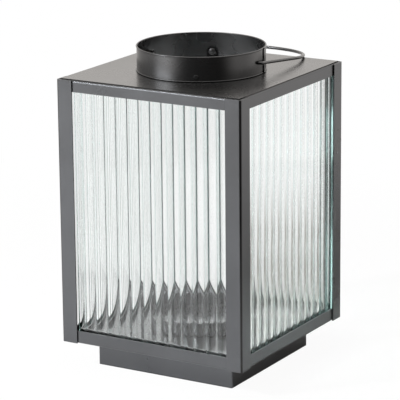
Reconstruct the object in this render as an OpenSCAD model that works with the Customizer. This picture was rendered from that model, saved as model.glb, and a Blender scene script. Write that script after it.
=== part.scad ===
// Square candle lantern with fluted glass sides, a recessed plinth, a round
// collar on the top plate and a wire bail that folds down behind the collar.
// Millimetres, +Z up. The origin is the centre of the plinth's underside.
// Front is -Y, right is +X.

/* [Frame] */
// Width and depth of the square body, across the corner posts
body_w = 180; // [150:1:240]
// Height of the frame, from the bottom rails' underside to the rails' top
frame_h = 233.6; // [160:0.1:360]
// Width of each leg of an angle-section corner post
post_w = 15; // [12:0.5:20]
// Sheet thickness of the posts
post_t = 1.2; // [0.8:0.1:1.5]
// Outer bend radius of the posts
post_bend = 1.9; // [1.8:0.1:3]
// Height of the top rails' face
top_rail_h = 10; // [7:0.5:16]
// Height of the bottom rails' face
bottom_rail_h = 11; // [8:0.5:18]
// Sheet thickness of the rails
rail_t = 1.2; // [0.8:0.1:1.4]
// Outer bend radius of the rails
rail_bend = 1.6; // [1.5:0.1:2.5]
// Width of the rails' inward flange, over the face
rail_flange = 12; // [11:0.5:16]

/* [Glass] */
// Thickness of a fluted pane at the ridges
glass_t = 4; // [3.6:0.1:5]
// Width of one flute with its ridge
flute_pitch = 12.1; // [8:0.1:20]
// Depth of the hollow flutes in the outer face
flute_depth = 1.6; // [0.4:0.1:2]
// Width of the ridge left between two flutes
ridge_w = 0.25; // [0.2:0.05:1]
// Sideways shift of the flutes on the front and back panes
flute_shift_a = -1.5; // [-6:0.05:6]
// Sideways shift of the flutes on the left and right panes
flute_shift_b = 2.05; // [-6:0.05:6]
// Clearance round each pane
glass_gap = 0.3; // [0.2:0.05:0.6]
// Width of a pane clip
clip_w = 10; // [6:0.5:16]
// Sheet thickness of a pane clip
clip_t = 0.8; // [0.5:0.1:1.2]
// Length of a clip's leg behind the glass
clip_drop = 8; // [5:0.5:12]
// Distance of a side's two upper clips from its middle
clip_x = 48; // [30:1:55]

/* [Base] */
// Setback of the plinth's faces from the posts' faces
plinth_inset = 22.6; // [17:0.1:45]
// Height of the plinth below the frame
plinth_h = 24; // [12:0.5:40]
// Sheet thickness of the plinth
plinth_t = 1; // [0.7:0.1:1.5]
// Distance of the plinth's outward flange from the floor tray's folded edge
plinth_flange_gap = 2.1; // [0.5:0.1:4]
// Corner radius of the plinth
plinth_r = 1.4; // [1:0.1:4]
// Height of the floor's upper face over the frame's underside
floor_rise = 6.5; // [4.5:0.1:9]
// Sheet thickness of the floor tray
floor_t = 1; // [0.7:0.1:1.5]
// Height of the tray's hemmed edge over the floor
tray_lip = 4; // [2:0.1:4.5]
// Width of the tray's edge that stands on the rails' flanges
tray_seat = 1.7; // [1.2:0.1:2.4]

/* [Candle dish] */
// Outer diameter of the lift-out candle dish
dish_d = 93; // [70:0.5:94]
// Height of the dish
dish_h = 13.3; // [8:0.1:25]
// Sheet thickness of the dish
dish_t = 0.8; // [0.6:0.1:1.2]
// Outer radius of the bend at the foot of the dish wall
dish_bend = 2.4; // [1.5:0.1:4]
// Radius of the dish's rolled rim
dish_bead = 0.7; // [0.65:0.05:1]

/* [Top] */
// Thickness of the top plate
top_t = 0.8; // [0.6:0.1:1.5]
// Inside diameter of the collar
collar_inner_d = 109.8; // [100:0.1:116]
// Height of the collar over the top plate
collar_h = 22; // [16:0.5:40]
// Sheet thickness of the collar
collar_t = 0.8; // [0.6:0.1:1]
// Radius of the collar's outward-rolled rim and foot
collar_bead = 0.65; // [0.6:0.05:0.9]
// Direction of the edge of the collar's lap seam, from the right-hand side
seam_angle = 12; // [6:0.5:14]
// Width of the lap seam
seam_w = 5; // [3:0.5:5]
// Direction of the first riveted lug
lug_angle = 20.3; // [19.5:0.1:26]
// Turn of the front lug from its even place
front_lug_turn = 5.7; // [0:0.1:6]
// Number of lugs
lug_count = 4; // [2:1:4]
// Width of a lug
lug_w = 9; // [7:0.5:12]
// Height of a lug over the top plate
lug_h = 9; // [8:0.5:12]
// Thickness of a lug
lug_t = 1; // [0.6:0.1:1.4]
// Height of the rivets over the top plate
rivet_z = 4.8; // [3.8:0.1:5.5]
// Diameter of a rivet's shank
rivet_d = 3; // [2:0.1:3.4]
// Diameter of a rivet's domed head, inside the collar
rivet_head_d = 6.4; // [5:0.1:7]
// Height of the domed head
rivet_head_h = 1.3; // [0.8:0.1:1.6]

/* [Bail] */
// Diameter of the bail's wire
wire_d = 2.8; // [2:0.1:3.4]
// Height of the bail's pivot over the top plate
pivot_h = 11; // [9.5:0.1:13]
// Distance of the bail's legs from the middle, to the wire's centre
bail_half_w = 58.8; // [58.6:0.1:62]
// Length from the pivot to the start of the bow
bail_leg = 62; // [20:0.5:120]
// Bend radius where a leg turns into its pivot end
bail_bend = 2.4; // [1.8:0.1:2.5]
// Reach of each pivot end inside the collar
pivot_reach = 7.2; // [5:0.1:8]
// Diameter of the flattened tip of a pivot end
tip_d = 4; // [3.6:0.1:5]
// Thickness of the flattened tip
tip_t = 1.4; // [0.8:0.1:2]
// Gap between the folded bail and the edge of the top plate that it lies on
rest_gap = 0.2; // [0.1:0.05:0.5]

/* [Hidden] */
// Running clearance of the wire in its hole
pivot_fit = 0.05;
// Clearance of a rivet in its hole
rivet_fit = 0.05;
// Clearance of the rails' ends from the bend of the posts
end_gap = 0.5;
// Levels and half widths
half = body_w / 2;
plinth_w = body_w - 2 * plinth_inset;
frame_z = plinth_h;
frame_top = plinth_h + frame_h;
top_z = frame_top + top_t;
floor_z = frame_z + floor_rise;
// Planes counted inward from the post's outer face
rail_out = half - post_t;
rail_in = rail_out - rail_t;
flange_in = rail_out - rail_flange;
glass_out = rail_in - glass_gap;
glass_in = glass_out - glass_t;
pane_in = glass_in - glass_gap;
tray_half = flange_in + tray_seat;
top_half = rail_out - rail_bend;
glass_z0 = frame_z + rail_t + glass_gap;
glass_z1 = frame_top - rail_t - glass_gap;
pane_long = 2 * (rail_in - 2 * glass_gap);
pane_short = 2 * pane_in;
// Flute: a hollow circular arc between two ridges
flute_w = flute_pitch - ridge_w;
flute_r = (flute_w * flute_w / 4 + flute_depth * flute_depth) / (2 * flute_depth);
// Collar and its surroundings
collar_ri = collar_inner_d / 2;
collar_ro = collar_ri + collar_t;
lug_ro = collar_ri - 0.05;
lug_ri = lug_ro - lug_t;
pivot_z = top_z + pivot_h;
wire_r = wire_d / 2;
tip_x = collar_ri - pivot_reach;
// Angle at which the folded bail lies on the rear edge of the top plate
rest_c = wire_r + rest_gap;
rest_tilt = acos(rest_c / sqrt(pivot_h * pivot_h + top_half * top_half)) - atan2(top_half, pivot_h);
seam_sweep = seam_w / collar_ro * 180 / PI;
steel = "#47484a";
satin = "#343536";
inner = "#3d3e3f";
pane = [0.86, 0.93, 0.91, 0.35];
$fn = 96;

// Angle section in the XY plane: legs a along X and b along Y, bent at the origin
module angle_section(a, b, t, r) {
  translate([r, 0]) square([a - r, t]);
  translate([0, r]) square([t, b - r]);
  translate([r, r]) intersection() {
    difference() {
      circle(r);
      circle(r - t);
    }
    translate([-r, -r]) square(r);
  }
}

// Places what is built for the front on side i: 0 front, 1 right, 2 back, 3 left
module side(i) {
  rotate([0, 0, 90 * i]) children();
}

module post(i) {
  color(steel) side(i) translate([-half, -half, frame_z])
    linear_extrude(frame_h) angle_section(post_w, post_w, post_t, post_bend);
}

// Rail of face height h for the front: the face is at -Y, the flange turns inward.
// long rails run past the short ones, whose flanges are notched round theirs
module rail(h, up, long) {
  len = long ? 2 * (rail_out - end_gap) : 2 * rail_in;
  notch = long ? rail_in : flange_in;
  translate([0, 0, up ? frame_top : frame_z]) mirror([0, 0, up ? 1 : 0]) difference() {
    translate([-len / 2, -rail_out, 0]) rotate([90, 0, 90])
      linear_extrude(len) angle_section(rail_flange, h, rail_t, rail_bend);
    for (s = [-1, 1])
      translate([s * (notch + half) - half, -rail_in, -1]) cube([2 * half, rail_flange + 1, h + 2]);
  }
}

module bottom_rail(i) {
  color(steel) side(i) rail(bottom_rail_h, false, i % 2 == 0);
}

module top_rail(i) {
  color(steel) side(i) rail(top_rail_h, true, i % 2 == 0);
}

// Fluted pane for the front: hollow flutes in the outer face, with narrow ridges between them
module fluted_pane(w, shift) {
  h = glass_z1 - glass_z0;
  n = ceil(w / flute_pitch / 2) + 1;
  color(pane) translate([0, -glass_out, glass_z0]) difference() {
    translate([-w / 2, 0, 0]) cube([w, glass_t, h]);
    for (k = [-n : n])
      translate([k * flute_pitch + shift, flute_depth - flute_r, -1]) cylinder(r = flute_r, h = h + 2);
  }
}

module glass(i) {
  side(i) fluted_pane(i % 2 == 0 ? pane_long : pane_short, i % 2 == 0 ? flute_shift_a : flute_shift_b);
}

// One angle clip on a flange: a foot of the given length, and a leg up behind the pane
module clip(x, foot) {
  translate([x - clip_w / 2, -pane_in, 0]) rotate([90, 0, 90]) linear_extrude(clip_w)
    angle_section(foot, clip_drop, clip_t, clip_t + 0.4);
}

// Each pane has two clips under the top flange and one on the bottom flange
module glass_clips() {
  color(steel) for (i = [0 : 3]) side(i) {
    for (s = [-1, 1])
      translate([0, 0, frame_top - rail_t]) mirror([0, 0, 1]) clip(s * clip_x, pane_in - flange_in);
    translate([0, 0, frame_z + rail_t]) clip(0, pane_in - tray_half - glass_gap);
  }
}

// Square tube outline with rounded corners
module rounded_square(w, r) {
  translate([-w / 2 + r, -w / 2]) square([w - 2 * r, w]);
  translate([-w / 2, -w / 2 + r]) square([w, w - 2 * r]);
  for (x = [-1, 1], y = [-1, 1])
    translate([x * (w / 2 - r), y * (w / 2 - r)]) circle(r);
}

// Closed pan below, with a flange turned outward under the floor
module plinth() {
  top = floor_z - floor_t;
  color(steel) {
    linear_extrude(plinth_t) rounded_square(plinth_w, plinth_r);
    linear_extrude(top) difference() {
      rounded_square(plinth_w, plinth_r);
      square(plinth_w - 2 * plinth_t, center = true);
    }
    translate([0, 0, top - plinth_t]) linear_extrude(plinth_t) difference() {
      square(2 * (tray_half - floor_t - plinth_flange_gap), center = true);
      square(plinth_w - 2 * plinth_t, center = true);
    }
  }
}

// Floor whose four edges turn up, then down again on to the bottom rails' flanges
module floor_tray() {
  seat = frame_z + rail_t;
  leaf = tray_half - floor_t;
  hem = tray_half - 2 * floor_t;
  color(inner) difference() {
    translate([-tray_half, -tray_half, seat]) cube([2 * tray_half, 2 * tray_half, floor_z + tray_lip - seat]);
    translate([-hem, -hem, floor_z]) cube([2 * hem, 2 * hem, tray_lip + 1]);
    translate([-leaf, -leaf, seat - 1]) cube([2 * leaf, 2 * leaf, floor_z - seat + 1 - floor_t]);
  }
}

// Half section of the dish: flat base, bent foot, wall and rolled rim
module dish_section() {
  wall_r = dish_d / 2 - dish_bead * 2 + dish_t;
  square([wall_r - dish_bend, dish_t]);
  translate([wall_r - dish_bend, dish_bend]) intersection() {
    difference() {
      circle(dish_bend);
      circle(dish_bend - dish_t);
    }
    translate([0, -dish_bend]) square(dish_bend);
  }
  translate([wall_r - dish_t, dish_bend]) square([dish_t, dish_h - dish_bend - dish_bead]);
  translate([dish_d / 2 - dish_bead, dish_h - dish_bead]) circle(dish_bead);
}

module candle_dish() {
  color(inner) translate([0, 0, floor_z]) rotate_extrude() dish_section();
}

// One lug's outline, seen from the collar's axis: round-topped tab
module lug_outline() {
  r = lug_w / 2;
  translate([-r, -top_t]) square([lug_w, lug_h + top_t - r]);
  translate([0, lug_h - r]) circle(r);
}

module at_lugs() {
  for (k = [0 : lug_count - 1])
    rotate([0, 0, lug_angle + k * 360 / lug_count + (k == lug_count - 1 ? front_lug_turn : 0)]) children();
}

// Plate with the candle opening, and lugs turned up from the opening's edge
module top_plate() {
  color(steel) difference() {
    union() {
      translate([-top_half, -top_half, frame_top]) cube([2 * top_half, 2 * top_half, top_t]);
      at_lugs() intersection() {
        translate([0, 0, frame_top]) cylinder(r = lug_ro, h = top_t + lug_h + 1);
        translate([lug_ri - lug_t, 0, top_z]) rotate([90, 0, 90]) linear_extrude(3 * lug_t) lug_outline();
      }
    }
    translate([0, 0, frame_top - 1]) cylinder(r = lug_ri, h = top_t + lug_h + 3);
    at_lugs() translate([lug_ri - lug_t, 0, top_z + rivet_z]) rotate([0, 90, 0])
      cylinder(d = rivet_d + 2 * rivet_fit, h = 3 * lug_t);
  }
}

// Section of the rolled strip: a wall with an outward bead at rim and foot
module strip_section(r) {
  translate([r, 0]) square([collar_t, collar_h - collar_bead]);
  translate([r + collar_bead, collar_h - collar_bead]) circle(collar_bead);
  translate([r + collar_bead, collar_bead + 0.02]) circle(collar_bead);
}

// Rolled strip closed by a lap seam, drilled for the bail and the rivets
module collar() {
  color(satin) difference() {
    translate([0, 0, top_z]) union() {
      rotate_extrude() strip_section(collar_ri);
      rotate([0, 0, seam_angle]) rotate_extrude(angle = seam_sweep) strip_section(collar_ri + collar_t);
    }
    translate([-body_w, 0, pivot_z]) rotate([0, 90, 0]) cylinder(r = wire_r + pivot_fit, h = 2 * body_w);
    at_lugs() translate([collar_ri - collar_t, 0, top_z + rivet_z]) rotate([0, 90, 0])
      cylinder(d = rivet_d + 2 * rivet_fit, h = 4 * collar_t);
  }
}

// Rivets through collar and lugs: dome inside, low head outside
module collar_rivets() {
  in_x = lug_ri - 0.15;
  dome_r = (rivet_head_d * rivet_head_d / 4 + rivet_head_h * rivet_head_h) / (2 * rivet_head_h);
  tail_h = 0.6;
  color(steel) at_lugs() translate([0, 0, top_z + rivet_z]) {
    translate([in_x - 0.1, 0, 0]) rotate([0, 90, 0]) cylinder(d = rivet_d, h = collar_ro - in_x + 0.2);
    intersection() {
      translate([in_x - rivet_head_h + dome_r, 0, 0]) sphere(dome_r);
      translate([in_x - rivet_head_h - 1, 0, 0]) rotate([0, 90, 0]) cylinder(d = 2 * rivet_head_d, h = rivet_head_h + 1);
    }
    translate([collar_ro, 0, 0]) rotate([0, 90, 0]) cylinder(d1 = rivet_d + 1, d2 = rivet_d + 0.2, h = tail_h);
  }
}

// Bent wire: two straight legs, a half-round bow, and ends turned in through the collar
module bail_handle() {
  color(satin) translate([0, 0, pivot_z]) rotate([-rest_tilt, 0, 0]) {
    translate([0, bail_leg, 0]) rotate_extrude(angle = 180)
      translate([bail_half_w, 0]) circle(wire_r);
    for (m = [0, 1]) mirror([m, 0, 0]) {
      translate([bail_half_w, bail_bend, 0]) rotate([-90, 0, 0]) cylinder(r = wire_r, h = bail_leg - bail_bend);
      translate([bail_half_w - bail_bend, bail_bend, 0]) rotate([0, 0, -90]) rotate_extrude(angle = 90)
        translate([bail_bend, 0]) circle(wire_r);
      translate([tip_x, 0, 0]) rotate([0, 90, 0]) cylinder(r = wire_r, h = bail_half_w - bail_bend - tip_x);
      translate([tip_x, 0, 0]) rotate([0, 90, 0]) cylinder(d = tip_d, h = tip_t);
    }
  }
}

plinth();
floor_tray();
bottom_rail(0);  // bottom_rail_front
bottom_rail(1);  // bottom_rail_right
bottom_rail(2);  // bottom_rail_back
bottom_rail(3);  // bottom_rail_left
post(0);  // post_front_left
post(1);  // post_front_right
post(2);  // post_back_right
post(3);  // post_back_left
top_rail(0);  // top_rail_front
top_rail(1);  // top_rail_right
top_rail(2);  // top_rail_back
top_rail(3);  // top_rail_left
glass(0);  // glass_front
glass(1);  // glass_right
glass(2);  // glass_back
glass(3);  // glass_left
glass_clips();
top_plate();
collar();
collar_rivets();
bail_handle();
candle_dish();
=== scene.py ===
import math

import bmesh
import bpy
from bpy.props import FloatProperty, FloatVectorProperty, IntProperty, PointerProperty
from bpy.types import Operator, Panel, PropertyGroup
from mathutils import Matrix, Vector


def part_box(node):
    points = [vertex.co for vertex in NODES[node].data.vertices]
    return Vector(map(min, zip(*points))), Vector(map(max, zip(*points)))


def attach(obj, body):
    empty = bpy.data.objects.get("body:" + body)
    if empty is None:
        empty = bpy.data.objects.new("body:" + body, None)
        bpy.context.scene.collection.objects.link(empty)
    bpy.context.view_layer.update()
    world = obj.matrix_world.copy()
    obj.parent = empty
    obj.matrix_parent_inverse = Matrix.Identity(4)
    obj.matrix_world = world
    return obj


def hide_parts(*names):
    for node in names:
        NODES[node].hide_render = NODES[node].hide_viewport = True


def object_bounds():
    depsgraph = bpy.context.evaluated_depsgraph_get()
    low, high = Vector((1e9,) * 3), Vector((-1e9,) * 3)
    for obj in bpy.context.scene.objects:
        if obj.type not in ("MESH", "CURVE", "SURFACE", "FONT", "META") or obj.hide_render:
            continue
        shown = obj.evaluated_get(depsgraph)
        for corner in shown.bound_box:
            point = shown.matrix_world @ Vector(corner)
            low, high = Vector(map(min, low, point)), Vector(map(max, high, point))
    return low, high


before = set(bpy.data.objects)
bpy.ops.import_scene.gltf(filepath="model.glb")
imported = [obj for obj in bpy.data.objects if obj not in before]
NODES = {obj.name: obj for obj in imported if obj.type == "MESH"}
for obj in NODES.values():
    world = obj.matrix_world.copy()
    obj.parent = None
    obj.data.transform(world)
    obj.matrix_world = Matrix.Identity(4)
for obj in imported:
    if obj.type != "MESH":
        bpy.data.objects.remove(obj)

bl_info = {
    "name": "Fluted Candle Lantern",
    "version": (1, 0, 0),
    "blender": (4, 5, 0),
    "location": "3D View > Sidebar > Lantern",
    "description": "Finishes, fluted panes and a studio stage for a square steel candle lantern",
    "category": "Object",
}

FRAME_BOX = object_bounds()
BODY = "lantern_body"
SIDES = ("front", "right", "back", "left")
POSTS = ("post_front_left", "post_front_right", "post_back_right", "post_back_left")
RAILS = tuple(f"{level}_rail_{side}" for level in ("top", "bottom") for side in SIDES)

# Paint: tones of the base colour, and what shows through or lies on it
METAL_FLAKE = 0.95
BARE_STEEL = (0.26, 0.26, 0.27)
DUST_COLOUR = (0.46, 0.45, 0.43)
# Painted shade: the darkest colour, laid into each seam, on the top plate's cut edges and under
# the bail
PAINTED_SHADE_DARK = (0.012, 0.012, 0.012)
# Painted shade along the posts' outer folds, for the dark reflection seen there
FOLD_PAINTED_SHADE = (0.022, 0.020, 0.019)
PATCH_DARKEST, PATCH_LIGHTEST = 0.92, 1.09
PATCH_GLOSS = 0.035
DUST_ROUGHNESS = 0.5
COAT_ROUGHNESS = 0.18
CREASE_ANGLE = math.radians(40)
RIVET_SHADE, RIVET_ROUGHNESS = 0.65, 0.42
DRIFTS_PER_METRE, LEAST_DRIFT = 22.0, 0.3

# Paint: where each change starts and where it ends, in values of noise, openness or normal
PATCH_RANGE = (0.3, 0.7)
WEAR_BREAKS = (0.35, 0.65)
SEAM_SHADE_RANGE = (0.35, 0.95)
LEVEL_RANGE = (0.6, 1.0)
SPECK_RANGE = (0.45, 0.75)
FOLD_SHADE_RANGE = (0.12, 0.45)
UNDERSIDE_SHADE_RANGE = (0.35, -0.35)

# Glass
GLASS_IOR = 1.52
# Painted colour of light: green laid on the flute flanks, for light's long path through thick
# glass
RIDGE_RANGE = (0.91, 0.87)
RIDGE_PAINTED_TINT = (0.66, 0.87, 0.84)
SHADOW_TINT = (0.85, 0.87, 0.86, 1.0)
SMEARS_PER_METRE, SMEAR_RANGE, SMEAR_ROUGHNESS = 30.0, (0.5, 0.8), 0.003
RIPPLES_PER_METRE, ROLLING_STRETCH = 130.0, 0.12
GROUND_DARK, GROUND_PALE = (0.38, 0.56, 0.54), (0.54, 0.72, 0.69)
GROUND_ROUGHNESS = 0.6
GRIND_MARKS_PER_METRE, GRIND_DEPTH = 900.0, 0.00003
SHARP_RIDGE = math.radians(35)

# Lamps: where they stand, what they aim at, how large they are and their colour
KEY_PLACE, KEY_AIM, KEY_SIZE = (-1.25, -1.54, 0.75), (0, 0, 0.2), (1.1, 1.5)
KEY_COLOUR = (0.93, 0.965, 1.0)
HIGH_PLACE, HIGH_AIM, HIGH_SIZE = (-1.021, -1.458, 1.393), (0, 0, 0.1), (0.12, 0.12)
HIGH_COLOUR = (0.97, 0.98, 1.0)
LIGHT_BOUNCES, MIRROR_BOUNCES = 32, 16

# World and floor. Each range is where a smooth change starts and where it ends.
WHITE = (1.0, 1.0, 1.0)
WARM_FILL, WARM_MIRRORED = (1.0, 0.93, 0.85), (1.0, 0.965, 0.93)
ROOM_EDGE = (0.45, 0.85)
SIDE_WALLS, SIDE_WALL_LEVEL = (0.55, 0.95), 0.6
FLOOR_RIM = (0.35, 0.95)
SHADOW_FLANK = (0.12, 0.20)
SHADOW_END = (0.52, 0.74)
FLOOR_MIRRORED = 0.05
MOTTLES_PER_METRE, MOTTLE_SHARE, MOTTLE_SHADE = 3.0, 0.1, 0.97
FLOOR_GAP = 0.0001

# Camera
AIM_OFFSET = Vector((-0.00265, 0.0, 0.0007))
SENSOR_WIDTH = 36.0
CLIP_END = 30.0


# ---------------------------------------------------------------- properties

class LANTERN_PG_paint(PropertyGroup):
    """Colours and texture of the painted steel"""

    frame_colour: FloatVectorProperty(
        name="Frame Colour", description="Powder coat on the posts, rails and plinth",
        subtype="COLOR", size=3, min=0, max=1, default=(0.118, 0.121, 0.127))
    top_colour: FloatVectorProperty(
        name="Top Colour", description="Powder coat on the top plate",
        subtype="COLOR", size=3, min=0, max=1, default=(0.150, 0.148, 0.146))
    collar_colour: FloatVectorProperty(
        name="Collar Colour", description="Satin paint on the collar, its rivets and the bail",
        subtype="COLOR", size=3, min=0, max=1, default=(0.125, 0.125, 0.127))
    inner_colour: FloatVectorProperty(
        name="Inner Colour", description="Paint on the floor, the clips and the dish",
        subtype="COLOR", size=3, min=0, max=1, default=(0.140, 0.142, 0.145))
    frame_roughness: FloatProperty(
        name="Frame Roughness", description="How widely the powder coat spreads reflections",
        subtype="FACTOR", min=0, max=1, default=0.30)
    top_roughness: FloatProperty(
        name="Top Roughness",
        description="How widely the top plate and the pieces inside spread reflections",
        subtype="FACTOR", min=0, max=1, default=0.26)
    collar_roughness: FloatProperty(
        name="Collar Roughness", description="How widely the satin paint spreads reflections",
        subtype="FACTOR", min=0, max=1, default=0.27)
    grain_size: FloatProperty(
        name="Grain Size", description="Width of one grain of the powder coat",
        unit="LENGTH", min=0.0001, max=0.01, default=0.0009)
    grain_depth: FloatProperty(
        name="Grain Depth", description="Height of the powder coat's grain",
        unit="LENGTH", min=0, max=0.001, default=0.00002)
    edge_width: FloatProperty(
        name="Edge Width", description="Width of the thinner paint along the edges",
        unit="LENGTH", min=0.0001, max=0.005, default=0.0006)
    edge_round: FloatProperty(
        name="Edge Rounding", description="Radius of the painted sheet edges",
        unit="LENGTH", min=0.00005, max=0.001, default=0.0002)
    dust: FloatProperty(
        name="Dust", description="Amount of dust on surfaces that face up",
        subtype="FACTOR", min=0, max=1, default=0.10)


class LANTERN_PG_glass(PropertyGroup):
    """Shape and tint of the fluted panes"""

    flute_pitch: FloatProperty(
        name="Flute Pitch", description="Width of one flute with its ridge",
        unit="LENGTH", min=0.004, max=0.03, default=0.0121)
    flute_depth: FloatProperty(
        name="Flute Depth", description="Depth of the hollow flutes in the outer face",
        unit="LENGTH", min=0.0002, max=0.003, default=0.0016)
    ridge_width: FloatProperty(
        name="Ridge Width", description="Width of the ridge between two flutes",
        unit="LENGTH", min=0.00002, max=0.001, default=0.00025)
    shift_front: FloatProperty(
        name="Front Shift", description="Sideways shift of the flutes on the front and back panes",
        unit="LENGTH", min=-0.01, max=0.01, default=-0.0015)
    shift_side: FloatProperty(
        name="Side Shift", description="Sideways shift of the flutes on the left and right panes",
        unit="LENGTH", min=-0.01, max=0.01, default=0.00205)
    flute_steps: IntProperty(
        name="Flute Steps", description="Number of facets across one flute",
        min=6, max=64, default=28)
    tint: FloatVectorProperty(
        name="Tint", description="Colour that thick glass takes on",
        subtype="COLOR", size=3, min=0, max=1, default=(0.12, 0.76, 0.60))
    tint_density: FloatProperty(
        name="Tint Density", description="How strongly the glass takes on its tint, per metre",
        min=0, max=200, default=3.6)
    waviness: FloatProperty(
        name="Waviness", description="Height of the slow ripples left by rolling the glass",
        unit="LENGTH", min=0, max=0.001, default=0.0000004)


class LANTERN_PG_stage(PropertyGroup):
    """Camera, lights, floor and backdrop"""

    azimuth: FloatProperty(
        name="Azimuth", description="Direction of the camera, from the front towards the right",
        subtype="ANGLE", default=0.536010654)
    elevation: FloatProperty(
        name="Elevation", description="Height angle of the camera",
        subtype="ANGLE", default=0.259737005)
    roll: FloatProperty(
        name="Roll", description="Turn of the camera about its own axis",
        subtype="ANGLE", default=-0.00944997)
    distance: FloatProperty(
        name="Distance", description="From the camera to the point that it looks at",
        unit="LENGTH", min=0.5, default=2.09867631)
    lens: FloatProperty(
        name="Lens", description="Focal length in millimetres on a 36 mm frame",
        min=20, max=400, default=216.01)
    fill: FloatProperty(
        name="Fill", description="Brightness of the light from all around",
        min=0, max=2, default=0.31)
    key_power: FloatProperty(
        name="Key Power", description="Power of the tall soft light at the front left",
        unit="POWER", min=0, default=19.0)
    high_power: FloatProperty(
        name="High Power", description="Power of the small light high at the front left",
        unit="POWER", min=0, default=48.0)
    glint_power: FloatProperty(
        name="Glint Power", description="Power of the high light's weak twin, which paint mirrors",
        unit="POWER", min=0, default=5.5)
    floor_colour: FloatVectorProperty(
        name="Floor Colour", description="Colour of the floor",
        subtype="COLOR", size=3, min=0, max=1, default=(0.9, 0.9, 0.9))
    passed_white: FloatProperty(
        name="White Through Glass", description="Brightness of the backdrop as the glass shows it",
        min=0, max=1, default=0.93)
    floor_radius: FloatProperty(
        name="Floor Radius", description="Radius of the round floor",
        unit="LENGTH", min=0.3, default=0.8)
    floor_reach: FloatProperty(
        name="Floor Reach", description="How far the floor runs towards the dark room",
        unit="LENGTH", min=0.2, default=0.42)
    floor_glow: FloatProperty(
        name="Floor Glow", description="How far the floor's own white hides the shadow on it",
        subtype="FACTOR", min=0, max=1, default=0.95)
    room_heading: FloatProperty(
        name="Room Heading",
        description="Direction of the dark room, from the front towards the right",
        subtype="ANGLE", default=math.radians(32))
    room_level: FloatProperty(
        name="Room Level", description="Brightness of the dark room in reflections",
        min=0, max=1, default=0.03)


# ------------------------------------------------------------- node building

def put(tree, kind, inputs=None, **settings):
    """Adds a node, sets it up and fills its inputs with values or links."""
    made = tree.nodes.new(kind)
    for name, value in settings.items():
        setattr(made, name, value)
    for key, value in (inputs or {}).items():
        if isinstance(value, bpy.types.NodeSocket):
            tree.links.new(value, made.inputs[key])
        else:
            made.inputs[key].default_value = value
    return made


def maths(tree, operation, *values, clamp=False):
    """Adds a Math node and returns its result."""
    made = put(tree, "ShaderNodeMath", dict(enumerate(values)),
               operation=operation, use_clamp=clamp)
    return made.outputs[0]


def mixed(tree, factor, a, b):
    """Mixes two colours and returns the result."""
    made = put(tree, "ShaderNodeMix", data_type="RGBA")
    for key, value in (("Factor", factor), (6, a), (7, b)):
        socket = made.inputs[key]
        if isinstance(value, bpy.types.NodeSocket):
            tree.links.new(value, socket)
        elif hasattr(value, "__len__"):
            socket.default_value = (*value, 1.0)
        else:
            socket.default_value = value
    return made.outputs[2]


def ranged(tree, value, start, end, low=0.0, high=1.0, smooth=False):
    """Maps a value from the range start to end onto low to high, and returns the result."""
    kind = "SMOOTHSTEP" if smooth else "LINEAR"
    made = put(tree, "ShaderNodeMapRange", {
        "Value": value, "From Min": start, "From Max": end, "To Min": low, "To Max": high},
        interpolation_type=kind)
    return made.outputs["Result"]


def facing_parts(tree):
    """The X, Y and Z parts of the surface normal."""
    normal = tree.nodes.new("ShaderNodeNewGeometry").outputs["Normal"]
    return put(tree, "ShaderNodeSeparateXYZ", {0: normal}).outputs


def noise(tree, at, scale, detail, roughness=0.5):
    """The value of a noise texture."""
    made = put(tree, "ShaderNodeTexNoise", {
        "Vector": at, "Scale": scale, "Detail": detail, "Roughness": roughness})
    return made.outputs["Fac"]


def object_place(tree):
    """The shaded point in the object's own space, so that the pattern moves with the piece."""
    return tree.nodes.new("ShaderNodeTexCoord").outputs["Object"]


def chosen(tree, factor, a, b):
    """Mixes two plain values and returns the result."""
    made = put(tree, "ShaderNodeMix", {0: factor, 2: a, 3: b}, data_type="FLOAT")
    return made.outputs[0]


def new_group(name, inputs, outputs):
    """A shader node group with float inputs {name: default} and float outputs."""
    tree = bpy.data.node_groups.new(name, "ShaderNodeTree")
    for label, value in inputs.items():
        socket = tree.interface.new_socket(label, in_out="INPUT", socket_type="NodeSocketFloat")
        socket.default_value = value
    for label in outputs:
        tree.interface.new_socket(label, in_out="OUTPUT", socket_type="NodeSocketFloat")
    given = tree.nodes.new("NodeGroupInput").outputs
    result = tree.nodes.new("NodeGroupOutput").inputs
    return tree, given, result


def powder_grain():
    """Fine grain of a powder coat, and the slow unevenness of its colour and gloss."""
    if "Powder Grain" in bpy.data.node_groups:
        return bpy.data.node_groups["Powder Grain"]
    tree, given, result = new_group(
        "Powder Grain", {"Size": 0.001, "Patch Size": 0.05}, ("Height", "Patches"))
    at = object_place(tree)
    fine = noise(tree, at, maths(tree, "DIVIDE", 1.0, given["Size"]), 2.0, 0.6)
    slow = noise(tree, at, maths(tree, "DIVIDE", 1.0, given["Patch Size"]), 4.0, 0.55)
    tree.links.new(fine, result["Height"])
    tree.links.new(slow, result["Patches"])
    return tree


def edge_wear():
    """Where paint is thin along outer edges, broken up by noise."""
    if "Edge Wear" in bpy.data.node_groups:
        return bpy.data.node_groups["Edge Wear"]
    tree, given, result = new_group(
        "Edge Wear", {"Width": 0.0006, "Break Size": 0.006, "Contrast": 4.0}, ("Mask",))
    soft = put(tree, "ShaderNodeBevel", {"Radius": given["Width"]}, samples=4)
    plain = tree.nodes.new("ShaderNodeNewGeometry")
    same = put(tree, "ShaderNodeVectorMath", {0: soft.outputs[0], 1: plain.outputs["Normal"]},
               operation="DOT_PRODUCT")
    turn = maths(tree, "SUBTRACT", 1.0, same.outputs["Value"])
    turn = maths(tree, "MULTIPLY", turn, given["Contrast"], clamp=True)
    broken = noise(tree, object_place(tree), maths(tree, "DIVIDE", 1.0, given["Break Size"]), 3.0)
    spread = ranged(tree, broken, *WEAR_BREAKS)
    tree.links.new(maths(tree, "MULTIPLY", turn, spread), result["Mask"])
    return tree


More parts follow.
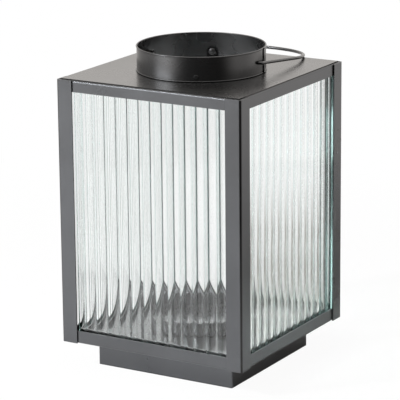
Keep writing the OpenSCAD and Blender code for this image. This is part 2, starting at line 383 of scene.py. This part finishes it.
def seam_shade():
    """1 in the open and 0 deep in a seam: the mask for painted shade where parts meet."""
    if "Seam Shade" in bpy.data.node_groups:
        return bpy.data.node_groups["Seam Shade"]
    tree, given, result = new_group("Seam Shade", {"Reach": 0.0015}, ("Open",))
    hidden = put(tree, "ShaderNodeAmbientOcclusion", {"Distance": given["Reach"]}, samples=4)
    tree.links.new(ranged(tree, hidden.outputs["AO"], *SEAM_SHADE_RANGE), result["Open"])
    return tree


def settled_dust():
    """Thin dust on what faces up, denser in slow patches."""
    if "Settled Dust" in bpy.data.node_groups:
        return bpy.data.node_groups["Settled Dust"]
    tree, given, result = new_group(
        "Settled Dust", {"Amount": 0.1, "Speck Size": 0.0012, "Specks": 0.65}, ("Mask",))
    level = ranged(tree, facing_parts(tree)["Z"], *LEVEL_RANGE)
    at = object_place(tree)
    specks = noise(tree, at, maths(tree, "DIVIDE", 1.0, given["Speck Size"]), 5.0, 0.7)
    thick = ranged(tree, specks, *SPECK_RANGE)
    drift = maths(tree, "ADD", noise(tree, at, DRIFTS_PER_METRE, 3.0), LEAST_DRIFT)
    amount = maths(tree, "MULTIPLY", given["Amount"], drift)
    even = maths(tree, "SUBTRACT", 1.0, given["Specks"])
    covered = maths(tree, "MULTIPLY_ADD", thick, given["Specks"], even)
    covered = maths(tree, "MULTIPLY", level, covered)
    tree.links.new(maths(tree, "MULTIPLY", covered, amount, clamp=True), result["Mask"])
    return tree


# ------------------------------------------------------------------ finishes

def new_material(name):
    """An empty node material with its output."""
    material = bpy.data.materials.new(name)
    material.use_nodes = True
    material.node_tree.nodes.clear()
    return material, material.node_tree, material.node_tree.nodes.new("ShaderNodeOutputMaterial")


def painted_steel(name, colour, roughness, *, wear=0.25, dust=None, patch=0.06, grain=1.0,
                  lacquer=0.0, cut_edge_shade=0.0, fold_shade=0.0, under=0.0):
    """Painted sheet steel: fine grain, uneven gloss, paler edges, a little dust, painted seam
    shade.

    lacquer is the weight of a clear coat. The last three lay painted shade on the cut edges of a
    level plate, on the folds between two upright faces, and on what faces down.
    """
    if name in bpy.data.materials:
        return bpy.data.materials[name]
    paint = bpy.context.scene.lantern_paint
    material, tree, out = new_material(name)
    texture = put(tree, "ShaderNodeGroup", node_tree=powder_grain())
    texture.inputs["Size"].default_value = paint.grain_size
    texture.inputs["Patch Size"].default_value = patch
    edges = put(tree, "ShaderNodeGroup", node_tree=edge_wear())
    edges.inputs["Width"].default_value = paint.edge_width
    film = put(tree, "ShaderNodeGroup", node_tree=settled_dust())
    film.inputs["Amount"].default_value = paint.dust if dust is None else dust
    # Painted shade where parts meet, from ambient occlusion
    seam_shade_node = put(tree, "ShaderNodeGroup", node_tree=seam_shade())

    patches = texture.outputs["Patches"]
    tone = ranged(tree, patches, *PATCH_RANGE)
    base = mixed(tree, tone, [c * PATCH_DARKEST for c in colour],
                 [c * PATCH_LIGHTEST for c in colour])
    base = mixed(tree, maths(tree, "MULTIPLY", edges.outputs["Mask"], wear), base, BARE_STEEL)
    base = mixed(tree, film.outputs["Mask"], base, DUST_COLOUR)
    if cut_edge_shade or fold_shade or under:
        facing = facing_parts(tree)
    # Painted shade: the plate's upright cut edges turn dark, as a shadow gap would look
    if cut_edge_shade:
        upright = maths(tree, "LESS_THAN", maths(tree, "ABSOLUTE", facing["Z"]), 0.5)
        base = mixed(tree, maths(tree, "MULTIPLY", upright, cut_edge_shade), base, PAINTED_SHADE_DARK)
    # Painted shade: folds between two upright faces turn dark, for the dark reflection on the post
    # corners
    if fold_shade:
        both = maths(tree, "MINIMUM", maths(tree, "ABSOLUTE", facing["X"]),
                     maths(tree, "ABSOLUTE", facing["Y"]))
        fold_shade_mask = ranged(tree, both, *FOLD_SHADE_RANGE)
        base = mixed(tree, maths(tree, "MULTIPLY", fold_shade_mask, fold_shade), base, FOLD_PAINTED_SHADE)
    # Painted shade: faces that point down turn dark
    if under:
        underside_shade_mask = ranged(tree, facing["Z"], *UNDERSIDE_SHADE_RANGE)
        base = mixed(tree, maths(tree, "MULTIPLY", underside_shade_mask, under), base, PAINTED_SHADE_DARK)
    # Painted shade: deep in a seam the colour goes dark
    base = mixed(tree, seam_shade_node.outputs["Open"], PAINTED_SHADE_DARK, base)

    flakes = maths(tree, "MULTIPLY_ADD", film.outputs["Mask"], -METAL_FLAKE, METAL_FLAKE)
    gloss = ranged(tree, patches, *PATCH_RANGE, roughness - PATCH_GLOSS,
                   roughness + PATCH_GLOSS)
    dulled = maths(tree, "MULTIPLY", film.outputs["Mask"], DUST_ROUGHNESS)
    rough = maths(tree, "ADD", gloss, dulled, clamp=True)
    relief = put(tree, "ShaderNodeBump", {
        "Strength": 1.0, "Distance": paint.grain_depth * grain,
        "Height": texture.outputs["Height"]})
    shader = put(tree, "ShaderNodeBsdfPrincipled", {
        "Base Color": base, "Metallic": flakes, "Roughness": rough,
        "Normal": relief.outputs["Normal"], "Coat Weight": lacquer,
        "Coat Roughness": COAT_ROUGHNESS})
    tree.links.new(shader.outputs[0], out.inputs["Surface"])
    return material


def fluted_glass():
    """Rolled clear glass, faintly green where it is thick. Lamps reach what stands behind it."""
    if "rolled_glass" in bpy.data.materials:
        return bpy.data.materials["rolled_glass"]
    glass = bpy.context.scene.lantern_glass
    material, tree, out = new_material("rolled_glass")
    at = object_place(tree)
    drawn = put(tree, "ShaderNodeMapping", {"Vector": at, "Scale": (1.0, 1.0, ROLLING_STRETCH)})
    ripple = noise(tree, drawn.outputs[0], RIPPLES_PER_METRE, 1.5)
    relief = put(tree, "ShaderNodeBump", {
        "Strength": 1.0, "Distance": glass.waviness, "Height": ripple})
    smears = noise(tree, at, SMEARS_PER_METRE, 4.0)
    rough = ranged(tree, smears, *SMEAR_RANGE, 0.0, SMEAR_ROUGHNESS)
    facing = facing_parts(tree)
    across = maths(tree, "MAXIMUM", maths(tree, "ABSOLUTE", facing["X"]),
                   maths(tree, "ABSOLUTE", facing["Y"]))
    # Painted colour of light: the flanks of each flute turn green, as long paths through glass
    # would show
    colour = mixed(tree, ranged(tree, across, *RIDGE_RANGE), WHITE, RIDGE_PAINTED_TINT)
    shader = put(tree, "ShaderNodeBsdfPrincipled", {
        "Base Color": colour, "Roughness": rough, "IOR": GLASS_IOR,
        "Transmission Weight": 1.0, "Normal": relief.outputs["Normal"]})
    clear = put(tree, "ShaderNodeBsdfTransparent", {"Color": SHADOW_TINT})
    path = tree.nodes.new("ShaderNodeLightPath")
    surface = put(tree, "ShaderNodeMixShader", {
        0: path.outputs["Is Shadow Ray"], 1: shader.outputs[0], 2: clear.outputs[0]})
    body = put(tree, "ShaderNodeVolumeAbsorption", {
        "Color": (*glass.tint, 1.0), "Density": glass.tint_density})
    tree.links.new(surface.outputs[0], out.inputs["Surface"])
    tree.links.new(body.outputs[0], out.inputs["Volume"])
    return material


def ground_edge():
    """The cut edges of a pane, ground matt and green as thick glass is."""
    if "ground_glass_edge" in bpy.data.materials:
        return bpy.data.materials["ground_glass_edge"]
    material, tree, out = new_material("ground_glass_edge")
    marks = noise(tree, object_place(tree), GRIND_MARKS_PER_METRE, 3.0)
    relief = put(tree, "ShaderNodeBump", {
        "Strength": 1.0, "Distance": GRIND_DEPTH, "Height": marks})
    shader = put(tree, "ShaderNodeBsdfPrincipled", {
        "Base Color": mixed(tree, marks, GROUND_DARK, GROUND_PALE),
        "Roughness": GROUND_ROUGHNESS, "Normal": relief.outputs["Normal"]})
    tree.links.new(shader.outputs[0], out.inputs["Surface"])
    return material


def dress(names, material, rounding=None):
    """Gives nodes of the frame a finish, and rounds their sheet edges a little."""
    for name in names:
        thing = NODES[name]
        if not thing.material_slots:
            thing.data.materials.append(material)
        for slot in thing.material_slots:
            slot.material = material
        if rounding:
            soft = thing.modifiers.new("rounded_edges", "BEVEL")
            soft.width = rounding
            soft.segments = 2
            soft.limit_method = "ANGLE"
            soft.angle_limit = CREASE_ANGLE
            soft.harden_normals = True
            soft.use_clamp_overlap = True


# -------------------------------------------------------------- fluted panes

def flute_hollow(offset, glass):
    """Depth of the outer face below the ridges, at a distance from the middle of a flute."""
    reach = (glass.flute_pitch - glass.ridge_width) / 2
    if abs(offset) >= reach:
        return 0.0
    radius = (reach ** 2 + glass.flute_depth ** 2) / (2 * glass.flute_depth)
    return glass.flute_depth - radius + math.sqrt(radius ** 2 - offset ** 2)


def flute_columns(low, high, shift, glass):
    """Positions along the pane: even steps across each flute, and the edges of each ridge."""
    spots = {low, high}
    first = math.floor((low - shift) / glass.flute_pitch) - 1
    last = math.ceil((high - shift) / glass.flute_pitch) + 1
    reach = (glass.flute_pitch - glass.ridge_width) / 2
    for k in range(first, last + 1):
        start = k * glass.flute_pitch + shift - reach
        spots.update(start + 2 * reach * i / glass.flute_steps
                     for i in range(glass.flute_steps + 1))
    return sorted(s for s in spots if low <= s <= high)


def fluted_pane(side):
    """One pane as a closed mesh: hollow flutes outside, flat inside, edges ground square."""
    glass = bpy.context.scene.lantern_glass
    low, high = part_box(f"glass_{side}")
    turn = Matrix.Rotation(math.radians(90 * SIDES.index(side)), 4, "Z")
    corners = [turn.inverted() @ Vector(c) for c in (low, high)]
    x0, x1 = sorted(c.x for c in corners)
    y0, y1 = sorted(c.y for c in corners)
    shift = glass.shift_front if side in ("front", "back") else glass.shift_side
    half = glass.flute_pitch / 2
    mesh = bmesh.new()
    rings = []
    for x in flute_columns(x0, x1, shift, glass):
        y = y0 + flute_hollow((x - shift + half) % glass.flute_pitch - half, glass)
        rings.append([mesh.verts.new(turn @ Vector(p)) for p in (
            (x, y, low.z), (x, y, high.z), (x, y1, high.z), (x, y1, low.z))])
    # Faces 0 and 2 of each step are the flutes and the flat inside, 1 and 3 the ground edges
    for here, after in zip(rings, rings[1:]):
        for i in range(4):
            j = (i + 1) % 4
            mesh.faces.new((here[i], after[i], after[j], here[j])).material_index = i % 2
    mesh.faces.new(rings[0]).material_index = 1
    mesh.faces.new(reversed(rings[-1])).material_index = 1
    bmesh.ops.recalc_face_normals(mesh, faces=mesh.faces)
    data = bpy.data.meshes.new(f"fluted_pane_{side}")
    mesh.to_mesh(data)
    mesh.free()
    data.shade_smooth()
    data.set_sharp_from_angle(angle=SHARP_RIDGE)
    pane = bpy.data.objects.new(f"fluted_pane_{side}", data)
    bpy.context.scene.collection.objects.link(pane)
    data.materials.append(fluted_glass())
    data.materials.append(ground_edge())
    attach(pane, BODY)
    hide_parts(f"glass_{side}")


# --------------------------------------------------------------------- stage

def add_lamp(name, place, aim, size, power, colour):
    """A soft rectangular light."""
    data = bpy.data.lights.new(name, "AREA")
    data.shape = "RECTANGLE"
    data.size, data.size_y = size
    data.energy = power
    data.color = colour
    lamp = bpy.data.objects.new(name, data)
    bpy.context.scene.collection.objects.link(lamp)
    lamp.location = place
    lamp.rotation_euler = (Vector(aim) - Vector(place)).to_track_quat("-Z", "Y").to_euler()
    return lamp


def heading(stage):
    """Level direction from the lantern to the dark room."""
    return Vector((math.sin(stage.room_heading), -math.cos(stage.room_heading), 0.0))


def along(tree, at, direction):
    """How far a point or direction lies along another direction."""
    made = put(tree, "ShaderNodeVectorMath", {0: at, 1: direction}, operation="DOT_PRODUCT")
    return made.outputs["Value"]


def ray_kinds(tree):
    """Three values, each 1 for rays that left the camera, a mirroring surface or glass."""
    path = tree.nodes.new("ShaderNodeLightPath").outputs
    return path["Is Camera Ray"], path["Is Glossy Ray"], path["Is Transmission Ray"]


def set_world(stage):
    """White behind the object, an even fill on it, and a dark room that its paint mirrors."""
    world = bpy.data.worlds.new("studio")
    bpy.context.scene.world = world
    world.use_nodes = True
    tree = world.node_tree
    tree.nodes.clear()
    seen, mirrored, passed = ray_kinds(tree)
    # Rays that passed glass with no reflection on the way
    turns = tree.nodes.new("ShaderNodeLightPath").outputs["Glossy Depth"]
    only_passed = maths(tree, "MULTIPLY", passed, maths(tree, "LESS_THAN", turns, 0.5))
    at = tree.nodes.new("ShaderNodeTexCoord").outputs["Generated"]
    room = ranged(tree, along(tree, at, heading(stage)), *ROOM_EDGE, 1.0, stage.room_level,
                  smooth=True)
    sideways = maths(tree, "ABSOLUTE", put(tree, "ShaderNodeSeparateXYZ", {0: at}).outputs["X"])
    walls = ranged(tree, sideways, *SIDE_WALLS, 1.0, SIDE_WALL_LEVEL, smooth=True)
    reflected = maths(tree, "MULTIPLY", room, walls)
    strength = chosen(tree, seen, stage.fill, 1.0)
    strength = chosen(tree, mirrored, strength, reflected)
    strength = chosen(tree, only_passed, strength, stage.passed_white)
    colour = mixed(tree, mirrored, WARM_FILL, WARM_MIRRORED)
    colour = mixed(tree, maths(tree, "MAXIMUM", seen, passed), colour, WHITE)
    light = put(tree, "ShaderNodeBackground", {"Color": colour, "Strength": strength})
    out = tree.nodes.new("ShaderNodeOutputWorld")
    tree.links.new(light.outputs[0], out.inputs["Surface"])


def floor_mesh(stage):
    """A disc, cut off where the dark room starts."""
    mesh = bmesh.new()
    bmesh.ops.create_circle(mesh, cap_ends=True, radius=stage.floor_radius, segments=96)
    away = heading(stage)
    bmesh.ops.bisect_plane(
        mesh, geom=mesh.verts[:] + mesh.edges[:] + mesh.faces[:],
        plane_co=away * stage.floor_reach, plane_no=away, clear_outer=True)
    data = bpy.data.meshes.new("floor")
    mesh.to_mesh(data)
    mesh.free()
    return data


def pale_floor(stage):
    """Pale matt floor that keeps the shadow, and goes over to plain white at its rim.

    Rays that have passed glass see white beside and beyond the lantern's shadow.
    """
    material, tree, out = new_material("pale_floor")
    at = object_place(tree)
    mottle = maths(tree, "MULTIPLY", noise(tree, at, MOTTLES_PER_METRE, 3.0), MOTTLE_SHARE)
    tone = mixed(tree, mottle, stage.floor_colour, [c * MOTTLE_SHADE for c in stage.floor_colour])
    lit = put(tree, "ShaderNodeBsdfDiffuse", {"Color": tone})
    seen, mirrored, passed = ray_kinds(tree)
    glow = put(tree, "ShaderNodeEmission", {
        "Color": (*WHITE, 1.0), "Strength": chosen(tree, passed, 1.0, stage.passed_white)})
    away = put(tree, "ShaderNodeVectorMath", {0: at}, operation="LENGTH").outputs["Value"]
    rim = ranged(tree, away, *(share * stage.floor_radius for share in FLOOR_RIM),
                 stage.floor_glow, 1.0, smooth=True)
    across = Vector((-HIGH_PLACE[1], HIGH_PLACE[0], 0.0)).normalized()
    beside = maths(tree, "ABSOLUTE", along(tree, at, across))
    clear = maths(tree, "MAXIMUM", ranged(tree, beside, *SHADOW_FLANK, smooth=True),
                  ranged(tree, away, *SHADOW_END, smooth=True))
    share = maths(tree, "MULTIPLY", seen, rim)
    share = maths(tree, "MAXIMUM", share, maths(tree, "MULTIPLY", mirrored, FLOOR_MIRRORED))
    share = maths(tree, "MAXIMUM", share, maths(tree, "MULTIPLY", passed, clear))
    surface = put(tree, "ShaderNodeMixShader", {0: share, 1: lit.outputs[0], 2: glow.outputs[0]})
    tree.links.new(surface.outputs[0], out.inputs["Surface"])
    return material


def add_floor(stage):
    """The floor, just under the lantern's foot."""
    floor = bpy.data.objects.new("floor", floor_mesh(stage))
    bpy.context.scene.collection.objects.link(floor)
    floor.location.z = FRAME_BOX[0][2] - FLOOR_GAP
    floor.data.materials.append(pale_floor(stage))


def add_camera(stage):
    """The camera looks at the middle of the body."""
    low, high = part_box("post_front_left")
    aim = Vector((0.0, 0.0, (low.z + high.z) / 2)) + AIM_OFFSET
    level = math.cos(stage.elevation)
    back = Vector((math.sin(stage.azimuth) * level, -math.cos(stage.azimuth) * level,
                   math.sin(stage.elevation)))
    right = Vector((0, 0, 1)).cross(back).normalized()
    up = back.cross(right)
    turned_right = right * math.cos(stage.roll) + up * math.sin(stage.roll)
    turned_up = up * math.cos(stage.roll) - right * math.sin(stage.roll)
    data = bpy.data.cameras.new("camera")
    data.lens = stage.lens
    data.sensor_width = SENSOR_WIDTH
    data.clip_end = CLIP_END
    camera = bpy.data.objects.new("camera", data)
    bpy.context.scene.collection.objects.link(camera)
    pose = Matrix((turned_right, turned_up, back)).transposed().to_4x4()
    pose.translation = aim + back * stage.distance
    camera.matrix_world = pose
    bpy.context.scene.camera = camera


# ----------------------------------------------------------------- operators

class LANTERN_OT_stage(Operator):
    """Sets up the floor, the lights, the world and the camera"""

    bl_idname = "lantern.stage"
    bl_label = "Set Up Stage"

    def execute(self, context):
        stage = context.scene.lantern_stage
        context.scene.view_settings.view_transform = "Standard"
        light_paths = context.scene.cycles
        light_paths.max_bounces = light_paths.transmission_bounces = LIGHT_BOUNCES
        light_paths.glossy_bounces = MIRROR_BOUNCES
        add_camera(stage)
        set_world(stage)
        add_floor(stage)
        add_lamp("tall_soft_light", KEY_PLACE, KEY_AIM, KEY_SIZE, stage.key_power, KEY_COLOUR)
        high = add_lamp("high_light", HIGH_PLACE, HIGH_AIM, HIGH_SIZE, stage.high_power,
                        HIGH_COLOUR)
        high.visible_glossy = False
        add_lamp("glint_light", HIGH_PLACE, HIGH_AIM, HIGH_SIZE, stage.glint_power, HIGH_COLOUR)
        return {"FINISHED"}


class LANTERN_OT_posts_and_rails(Operator):
    """Finishes the corner posts and the eight rails"""

    bl_idname = "lantern.posts_and_rails"
    bl_label = "Posts and Rails"

    def execute(self, context):
        paint = context.scene.lantern_paint
        # The posts' outer folds get painted shade
        finish = painted_steel("frame_powder_coat", paint.frame_colour, paint.frame_roughness,
                               fold_shade=0.8)
        dress(POSTS + RAILS, finish, paint.edge_round)
        return {"FINISHED"}


class LANTERN_OT_top_plate(Operator):
    """Finishes the top plate and its lugs"""

    bl_idname = "lantern.top_plate"
    bl_label = "Top Plate"

    def execute(self, context):
        paint = context.scene.lantern_paint
        # The top plate's cut edges get painted shade
        finish = painted_steel("top_powder_coat", paint.top_colour, paint.top_roughness,
                               dust=paint.dust * 0.6, lacquer=0.15, cut_edge_shade=0.9)
        dress(("top_plate",), finish, paint.edge_round)
        return {"FINISHED"}


class LANTERN_OT_collar(Operator):
    """Finishes the rolled collar and its rivets"""

    bl_idname = "lantern.collar"
    bl_label = "Collar and Rivets"

    def execute(self, context):
        paint = context.scene.lantern_paint
        finish = painted_steel("collar_satin", paint.collar_colour, paint.collar_roughness,
                               wear=0.12, dust=paint.dust * 0.3, grain=0.5)
        dress(("collar",), finish)
        rivet_colour = [c * RIVET_SHADE for c in paint.collar_colour]
        rivets = painted_steel("rivet_satin", rivet_colour, RIVET_ROUGHNESS, wear=0.05, grain=0.5)
        dress(("collar_rivets",), rivets)
        return {"FINISHED"}


class LANTERN_OT_bail(Operator):
    """Finishes the wire bail"""

    bl_idname = "lantern.bail"
    bl_label = "Wire Bail"

    def execute(self, context):
        paint = context.scene.lantern_paint
        # The bail's underside gets painted shade
        finish = painted_steel("bail_satin", paint.collar_colour, paint.collar_roughness,
                               wear=0.2, dust=paint.dust * 0.3, patch=0.012, grain=0.5,
                               under=0.8)
        dress(("bail_handle",), finish)
        return {"FINISHED"}


class LANTERN_OT_glass(Operator):
    """Makes the four fluted panes"""

    bl_idname = "lantern.glass"
    bl_label = "Fluted Panes"

    def execute(self, context):
        for side in SIDES:
            fluted_pane(side)
        return {"FINISHED"}


class LANTERN_OT_plinth(Operator):
    """Finishes the recessed plinth"""

    bl_idname = "lantern.plinth"
    bl_label = "Plinth"

    def execute(self, context):
        paint = context.scene.lantern_paint
        finish = painted_steel("plinth_powder_coat", paint.frame_colour, paint.frame_roughness,
                               wear=0.15)
        dress(("plinth",), finish)
        return {"FINISHED"}


class LANTERN_OT_inside(Operator):
    """Finishes the floor, the pane clips and the candle dish"""

    bl_idname = "lantern.inside"
    bl_label = "Floor, Clips and Dish"

    def execute(self, context):
        paint = context.scene.lantern_paint
        finish = painted_steel("inner_paint", paint.inner_colour, paint.top_roughness,
                               dust=paint.dust * 0.5, lacquer=1.0)
        dress(("floor_tray", "glass_clips"), finish, paint.edge_round)
        dish = painted_steel("dish_paint", paint.inner_colour, paint.top_roughness,
                             patch=0.02, lacquer=1.0)
        dress(("candle_dish",), dish)
        return {"FINISHED"}


class LANTERN_PT_parts(Panel):
    """Builds and finishes the lantern"""

    bl_label = "Lantern"
    bl_idname = "LANTERN_PT_parts"
    bl_space_type = "VIEW_3D"
    bl_region_type = "UI"
    bl_category = "Lantern"

    def draw(self, context):
        for group in GROUPS:
            box = self.layout.box()
            box.label(text=group.removeprefix("lantern_").title())
            values = getattr(context.scene, group)
            for name in values.bl_rna.properties.keys():
                if name not in ("rna_type", "name"):
                    box.prop(values, name)
        column = self.layout.column(align=True)
        for step in STEPS:
            column.operator(step.bl_idname)


STEPS = (LANTERN_OT_stage, LANTERN_OT_posts_and_rails, LANTERN_OT_top_plate,
         LANTERN_OT_collar, LANTERN_OT_bail, LANTERN_OT_glass, LANTERN_OT_plinth,
         LANTERN_OT_inside)
GROUPS = {"lantern_paint": LANTERN_PG_paint, "lantern_glass": LANTERN_PG_glass,
          "lantern_stage": LANTERN_PG_stage}


def register():
    for group in GROUPS.values():
        bpy.utils.register_class(group)
    for name, group in GROUPS.items():
        setattr(bpy.types.Scene, name, PointerProperty(type=group))
    for step in STEPS:
        bpy.utils.register_class(step)
    bpy.utils.register_class(LANTERN_PT_parts)


def unregister():
    bpy.utils.unregister_class(LANTERN_PT_parts)
    for step in reversed(STEPS):
        bpy.utils.unregister_class(step)
    for name in GROUPS:
        delattr(bpy.types.Scene, name)
    for group in reversed(GROUPS.values()):
        bpy.utils.unregister_class(group)


def main():
    """Builds everything in order."""
    register()
    bpy.ops.lantern.stage()
    bpy.ops.lantern.posts_and_rails()
    bpy.ops.lantern.top_plate()
    bpy.ops.lantern.collar()
    bpy.ops.lantern.bail()
    bpy.ops.lantern.glass()
    bpy.ops.lantern.plinth()
    bpy.ops.lantern.inside()


if __name__ == "__main__":
    main()
